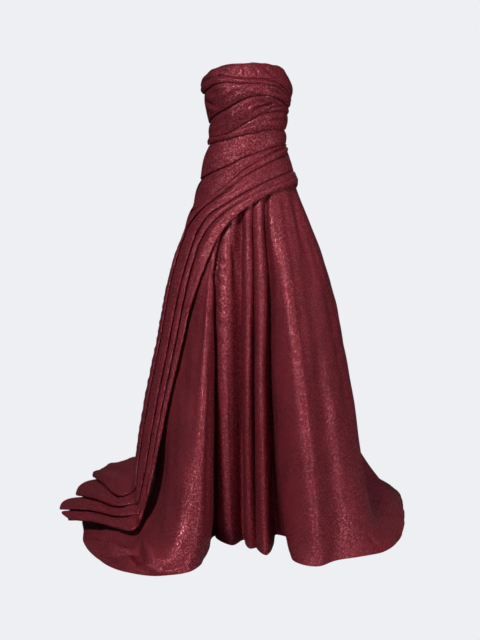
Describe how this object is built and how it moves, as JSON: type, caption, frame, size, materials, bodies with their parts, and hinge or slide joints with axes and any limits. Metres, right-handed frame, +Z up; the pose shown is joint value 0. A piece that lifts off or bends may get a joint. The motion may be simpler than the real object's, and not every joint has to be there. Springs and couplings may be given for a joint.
{
  "type": "strapless bustier gown",
  "caption": "Floor-length strapless gown: pleated bodice, sash draped from one hip down the other side, gathered skirt with a train, zip at the back.",
  "frame": {"origin": "centre of the gown's waist, where the wearer's body holds it; the floor that the hem touches is 1.2 m below", "axes": "+Z up, -Y to the front, +Y along the train, +X to the wearer's left, the side where the sash starts"},
  "size_m": [1.1222, 1.543, 1.4038],
  "materials": {
    "gown_fabric": "crinkled metallic weave with a soft sheen",
    "zip_tape": "plain woven tape",
    "zip_metal": "satin lacquer"
  },
  "bodies": {
    "gown": {"bodice_front": "gown_fabric", "bodice_back_left": "gown_fabric", "bodice_back_right": "gown_fabric", "sash_drape": "gown_fabric", "sash_back_left": "gown_fabric", "sash_back_right": "gown_fabric", "skirt_front": "gown_fabric", "skirt_back_left": "gown_fabric", "skirt_back_right": "gown_fabric", "zip_tape": "zip_tape", "zip_slider": "zip_metal"},
    "pull_tab": {"zip_pull": "zip_metal"}
  },
  "joints": [
    {"name": "pull_hinge", "type": "hinge", "parent": "gown", "child": "pull_tab", "pos_m": [0, 0.09915, 0.132], "axis": [1, 0, 0], "range_deg": [0, 160]}
  ]
}
